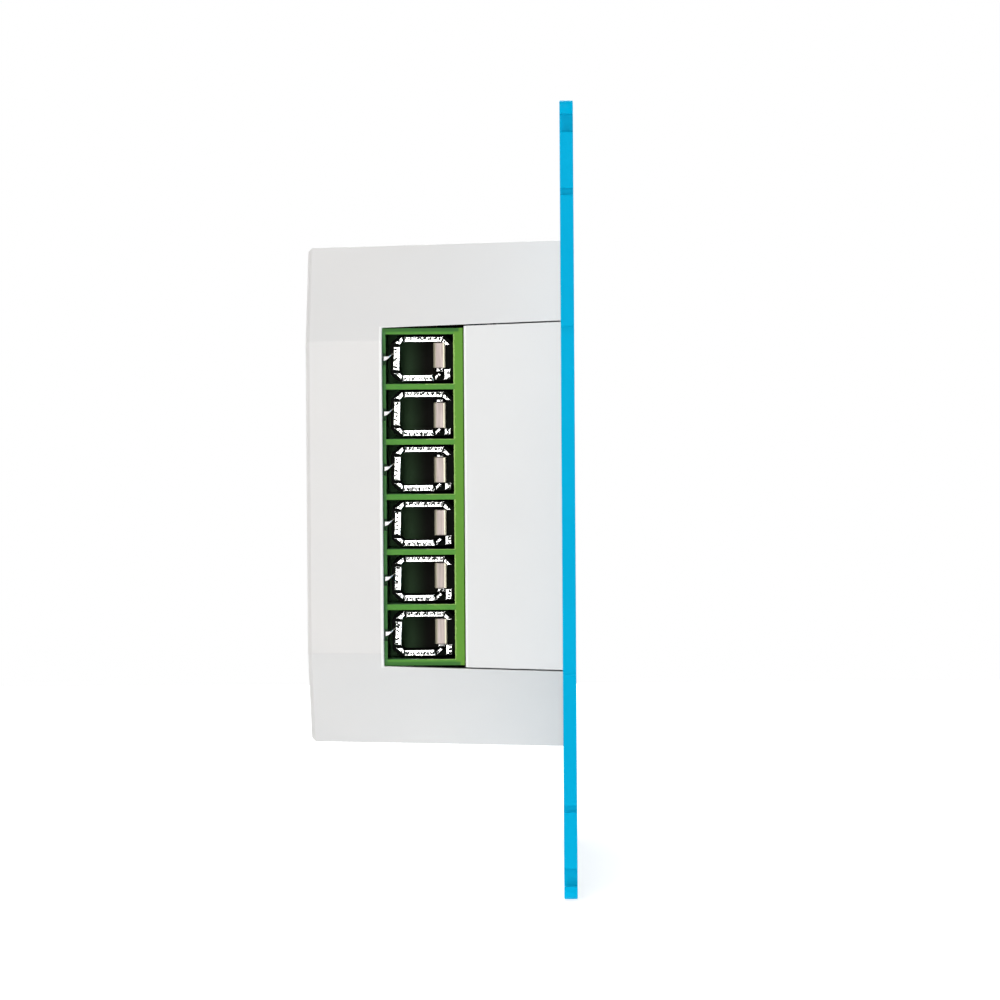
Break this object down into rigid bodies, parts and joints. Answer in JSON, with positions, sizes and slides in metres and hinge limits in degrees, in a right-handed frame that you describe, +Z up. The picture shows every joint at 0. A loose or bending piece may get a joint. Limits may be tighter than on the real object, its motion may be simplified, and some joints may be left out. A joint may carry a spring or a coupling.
{
  "type": "rotary push dimmer",
  "caption": "Flush-mounted rotary push dimmer: square metal plate, white module with a row of rising-cage wire terminals, and a flush dial that turns and pushes.",
  "frame": {"origin": "middle of the mounting plate's wall side, on the dial's axis", "axes": "+Y goes into the wall, away from the user, square to the plate; +Z is up; the wires enter from -X"},
  "size_m": [0.071, 0.0243, 0.071],
  "materials": {
    "plate_blue": "blue coating, satin gloss",
    "housing_white": "white moulded thermoplastic, satin",
    "dial_white": "white moulded thermoplastic, glossy",
    "terminal_green": "green moulded polyamide, satin",
    "bright_nickel": "nickel-plated steel",
    "tinned_copper": "tin-plated copper alloy, matt",
    "zinc_steel": "zinc-plated steel",
    "spring_steel": "bare spring steel",
    "brass": "turned brass",
    "board_green": "solder-masked glass-fibre laminate",
    "black_plastic": "black moulded plastic",
    "capacitor_sleeve": "shrink-sleeved aluminium can",
    "film_yellow": "moulded capacitor box",
    "varistor_blue": "epoxy-dipped disc",
    "aluminium": "bare sheet",
    "pad_grey": "thermal silicone",
    "clear_sheet": "polyester film"
  },
  "bodies": {
    "root": {"mounting_plate": "plate_blue", "rear_housing": "housing_white", "front_carrier": "housing_white", "main_board": "board_green", "terminal_body": "terminal_green", "terminal_bars": "tinned_copper", "encoder_can": "zinc_steel", "encoder_base": "black_plastic", "encoder_pins": "tinned_copper", "encoder_nut": "bright_nickel", "encoder_detent_spring": "spring_steel", "push_dome": "spring_steel", "bulk_capacitor": "capacitor_sleeve", "fuse": "black_plastic", "film_capacitor": "film_yellow", "choke": "black_plastic", "varistor": "varistor_blue", "microcontroller": "black_plastic", "rectifier": "black_plastic", "heat_spreader": "aluminium", "thermal_pad": "pad_grey", "power_transistors": "black_plastic", "insulating_sheet": "clear_sheet"},
    "dial_shaft": {"dial": "dial_white", "dial_clip": "spring_steel", "encoder_shaft": "aluminium"},
    "rotor": {"encoder_rotor": "black_plastic"},
    "plunger": {"push_plunger": "black_plastic"},
    "cage_1": {"terminal_cage_1": "bright_nickel"},
    "screw_1": {"terminal_screw_1": "zinc_steel"},
    "cage_2": {"terminal_cage_2": "bright_nickel"},
    "screw_2": {"terminal_screw_2": "zinc_steel"},
    "cage_3": {"terminal_cage_3": "bright_nickel"},
    "screw_3": {"terminal_screw_3": "zinc_steel"},
    "cage_4": {"terminal_cage_4": "bright_nickel"},
    "screw_4": {"terminal_screw_4": "zinc_steel"},
    "cage_5": {"terminal_cage_5": "bright_nickel"},
    "screw_5": {"terminal_screw_5": "zinc_steel"},
    "cage_6": {"terminal_cage_6": "bright_nickel"},
    "screw_6": {"terminal_screw_6": "zinc_steel"}
  },
  "joints": [
    {"name": "dial_turn", "type": "hinge", "parent": "root", "child": "rotor", "pos_m": [0, 0.012, 0], "axis": [0, 1, 0], "continuous": true},
    {"name": "dial_push", "type": "slide", "parent": "rotor", "child": "dial_shaft", "axis": [0, 1, 0], "range_m": [0, 0.0005], "stiffness_N_per_m": 4000, "springref_m": -0.0005},
    {"name": "plunger_push", "type": "slide", "parent": "root", "child": "plunger", "axis": [0, 1, 0], "range_m": [0, 0.0005], "deforming": ["push_dome"]},
    {"name": "screw_1_turn", "type": "hinge", "parent": "root", "child": "screw_1", "pos_m": [-0.0171, 0.0065, -0.0125], "axis": [0, 1, 0], "range_deg": [0, 1584.1]},
    {"name": "cage_1_rise", "type": "slide", "parent": "root", "child": "cage_1", "axis": [0, -1, 0], "range_m": [0, 0.0022]},
    {"name": "screw_2_turn", "type": "hinge", "parent": "root", "child": "screw_2", "pos_m": [-0.0171, 0.0065, -0.0075], "axis": [0, 1, 0], "range_deg": [0, 1584.1]},
    {"name": "cage_2_rise", "type": "slide", "parent": "root", "child": "cage_2", "axis": [0, -1, 0], "range_m": [0, 0.0022]},
    {"name": "screw_3_turn", "type": "hinge", "parent": "root", "child": "screw_3", "pos_m": [-0.0171, 0.0065, -0.0025], "axis": [0, 1, 0], "range_deg": [0, 1584.1]},
    {"name": "cage_3_rise", "type": "slide", "parent": "root", "child": "cage_3", "axis": [0, -1, 0], "range_m": [0, 0.0022]},
    {"name": "screw_4_turn", "type": "hinge", "parent": "root", "child": "screw_4", "pos_m": [-0.0171, 0.0065, 0.0025], "axis": [0, 1, 0], "range_deg": [0, 1584.1]},
    {"name": "cage_4_rise", "type": "slide", "parent": "root", "child": "cage_4", "axis": [0, -1, 0], "range_m": [0, 0.0022]},
    {"name": "screw_5_turn", "type": "hinge", "parent": "root", "child": "screw_5", "pos_m": [-0.0171, 0.0065, 0.0075], "axis": [0, 1, 0], "range_deg": [0, 1584.1]},
    {"name": "cage_5_rise", "type": "slide", "parent": "root", "child": "cage_5", "axis": [0, -1, 0], "range_m": [0, 0.0022]},
    {"name": "screw_6_turn", "type": "hinge", "parent": "root", "child": "screw_6", "pos_m": [-0.0171, 0.0065, 0.0125], "axis": [0, 1, 0], "range_deg": [0, 1584.1]},
    {"name": "cage_6_rise", "type": "slide", "parent": "root", "child": "cage_6", "axis": [0, -1, 0], "range_m": [0, 0.0022]}
  ],
  "couplings": [
    {"joint": "plunger_push", "follows": "dial_push", "ratio": 1},
    {"joint": "screw_1_turn", "follows": "cage_1_rise", "rad_per_m": 12566},
    {"joint": "screw_2_turn", "follows": "cage_2_rise", "rad_per_m": 12566},
    {"joint": "screw_3_turn", "follows": "cage_3_rise", "rad_per_m": 12566},
    {"joint": "screw_4_turn", "follows": "cage_4_rise", "rad_per_m": 12566},
    {"joint": "screw_5_turn", "follows": "cage_5_rise", "rad_per_m": 12566},
    {"joint": "screw_6_turn", "follows": "cage_6_rise", "rad_per_m": 12566}
  ]
}
